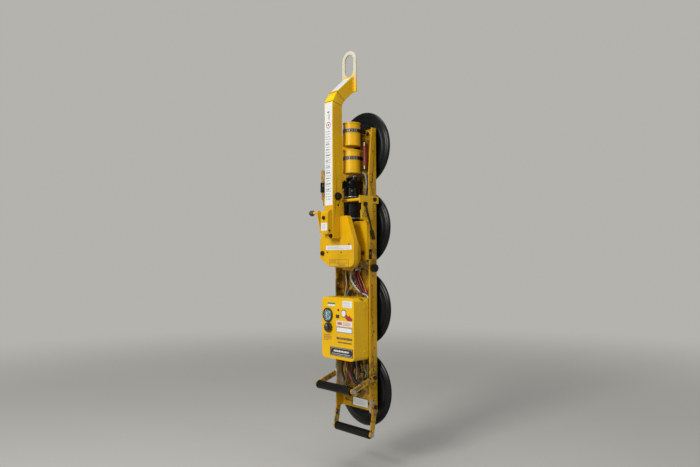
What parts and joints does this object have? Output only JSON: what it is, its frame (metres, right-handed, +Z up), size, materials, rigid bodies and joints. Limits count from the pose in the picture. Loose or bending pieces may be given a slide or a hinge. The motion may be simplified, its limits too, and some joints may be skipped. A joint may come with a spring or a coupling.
{
  "type": "vacuum lifter",
  "caption": "Crane-hung powered vacuum lifter: an offset arm carries a tilting, rotating channel with round pads in line, pump, reservoirs, control box and handles.",
  "frame": {"origin": "on the plane of the pad lips, half way between the middle two pads", "axes": "+Y towards the load, +Z up along the row of pads, +X to the operator's right"},
  "size_m": [0.254, 0.198, 1.3035],
  "materials": {
    "yellow_paint": "semi-gloss, chipped",
    "zinc_steel": "zinc plated",
    "black_steel": "black oxide",
    "black_casting": "satin",
    "black_plastic": "gloss",
    "bronze": "machined",
    "grip_rubber": "matt",
    "pad_rubber": "satin sheen",
    "hose": "satin",
    "dial_face": "printed",
    "lens": "clear",
    "needle": "matt",
    "lamp": "translucent",
    "circuit_board": "lacquered"
  },
  "bodies": {
    "lift_arm": {"lifting_eye": "yellow_paint", "lift_arm_tube": "yellow_paint", "tilt_housing": "yellow_paint", "tilt_axle": "zinc_steel", "latch_box": "yellow_paint", "arm_screws": "black_steel", "latch_pin_spring": "zinc_steel", "arm_cross_bolt": "black_steel"},
    "tilt_lever": {"tilt_lever_bar": "yellow_paint", "tilt_lever_ball": "black_plastic"},
    "tilt_latch": {"tilt_latch_pin": "zinc_steel"},
    "tilt_head": {"tilt_head_casting": "yellow_paint", "tilt_bushes": "bronze", "thrust_washers": "bronze", "rotation_spindle": "zinc_steel", "index_disc": "zinc_steel", "spindle_nut": "zinc_steel"},
    "pad_frame": {"frame_channel": "yellow_paint", "rotation_plate": "yellow_paint", "rotation_bush": "bronze", "frame_bolts": "black_steel", "pump_guard": "yellow_paint", "side_buffer": "grip_rubber", "pump_motor_can": "black_casting", "pump_head": "black_casting", "reservoirs": "yellow_paint", "reservoir_straps": "black_steel", "vacuum_hoses": "hose", "hose_fittings": "bronze", "inlet_filter": "black_casting", "control_box_cover": "yellow_paint", "control_box_tray": "yellow_paint", "box_screws": "zinc_steel", "gauge_case": "black_plastic", "gauge_dial": "dial_face", "gauge_lens": "lens", "valve_body": "bronze", "indicator_lamp": "lamp", "battery": "black_plastic", "circuit_board": "circuit_board", "vacuum_switch": "zinc_steel", "upper_handle_frame": "yellow_paint", "upper_handle_grip": "grip_rubber", "lower_handle_frame": "yellow_paint", "lower_handle_grip": "grip_rubber", "pad_springs": "zinc_steel"},
    "pump_rotor": {"pump_rotor": "zinc_steel"},
    "gauge_needle": {"gauge_needle": "needle"},
    "valve_knob": {"valve_knob": "black_plastic"},
    "power_switch": {"power_switch": "black_plastic"},
    "rotation_lever": {"rotation_lever": "black_steel"},
    "rotation_lock": {"rotation_lock_pin": "zinc_steel"},
    "pad_1": {"vacuum_pad_1": "pad_rubber", "pad_mount_1": "zinc_steel"},
    "pad_2": {"vacuum_pad_2": "pad_rubber", "pad_mount_2": "zinc_steel"},
    "pad_3": {"vacuum_pad_3": "pad_rubber", "pad_mount_3": "zinc_steel"},
    "pad_4": {"vacuum_pad_4": "pad_rubber", "pad_mount_4": "zinc_steel"}
  },
  "joints": [
    {"name": "tilt_lever_pull", "type": "hinge", "parent": "lift_arm", "child": "tilt_lever", "pos_m": [-0.022, -0.175, 0.124], "axis": [1, 0, 0], "range_deg": [0, 26]},
    {"name": "tilt_latch_draw", "type": "slide", "parent": "lift_arm", "child": "tilt_latch", "axis": [0, -1, 0], "range_m": [0, 0.01026], "deforming": ["latch_pin_spring"]},
    {"name": "tilt", "type": "hinge", "parent": "lift_arm", "child": "tilt_head", "pos_m": [0, -0.099, 0.013], "axis": [-1, 0, 0], "range_deg": [0, 90]},
    {"name": "rotation", "type": "hinge", "parent": "tilt_head", "child": "pad_frame", "pos_m": [0, -0.0645, 0.05], "axis": [0, -1, 0], "range_deg": [-90, 90]},
    {"name": "rotation_lever_pull", "type": "hinge", "parent": "pad_frame", "child": "rotation_lever", "pos_m": [0.094, -0.084, 0.211], "axis": [-1, 0, 0], "range_deg": [0, 20]},
    {"name": "rotation_lock_push", "type": "slide", "parent": "pad_frame", "child": "rotation_lock", "axis": [-1, 0, 0], "range_m": [0, 0.0091]},
    {"name": "pump_spin", "type": "hinge", "parent": "pad_frame", "child": "pump_rotor", "pos_m": [0.002, -0.0605, 0.2], "axis": [0, 0, 1], "continuous": true},
    {"name": "gauge_sweep", "type": "hinge", "parent": "pad_frame", "child": "gauge_needle", "pos_m": [-0.047, -0.1249, -0.1576], "axis": [0, 1, 0], "range_deg": [0, 250]},
    {"name": "valve_turn", "type": "hinge", "parent": "pad_frame", "child": "valve_knob", "pos_m": [-0.041, -0.13, -0.1985], "axis": [0, 1, 0], "range_deg": [0, 90]},
    {"name": "power_rock", "type": "hinge", "parent": "pad_frame", "child": "power_switch", "pos_m": [0, -0.1194, -0.16], "axis": [0, 0, 1], "range_deg": [0, 12]},
    {"name": "pad_1_float", "type": "slide", "parent": "pad_frame", "child": "pad_1", "axis": [0, -1, 0], "range_m": [0, 0.005], "deforming": ["pad_springs"]},
    {"name": "pad_2_float", "type": "slide", "parent": "pad_frame", "child": "pad_2", "axis": [0, -1, 0], "range_m": [0, 0.005], "deforming": ["pad_springs"]},
    {"name": "pad_3_float", "type": "slide", "parent": "pad_frame", "child": "pad_3", "axis": [0, -1, 0], "range_m": [0, 0.005], "deforming": ["pad_springs"]},
    {"name": "pad_4_float", "type": "slide", "parent": "pad_frame", "child": "pad_4", "axis": [0, -1, 0], "range_m": [0, 0.005], "deforming": ["pad_springs"]}
  ],
  "couplings": [
    {"joint": "tilt_latch_draw", "follows": "tilt_lever_pull", "m_per_rad": 0.0224},
    {"joint": "rotation_lock_push", "follows": "rotation_lever_pull", "m_per_rad": 0.026}
  ]
}
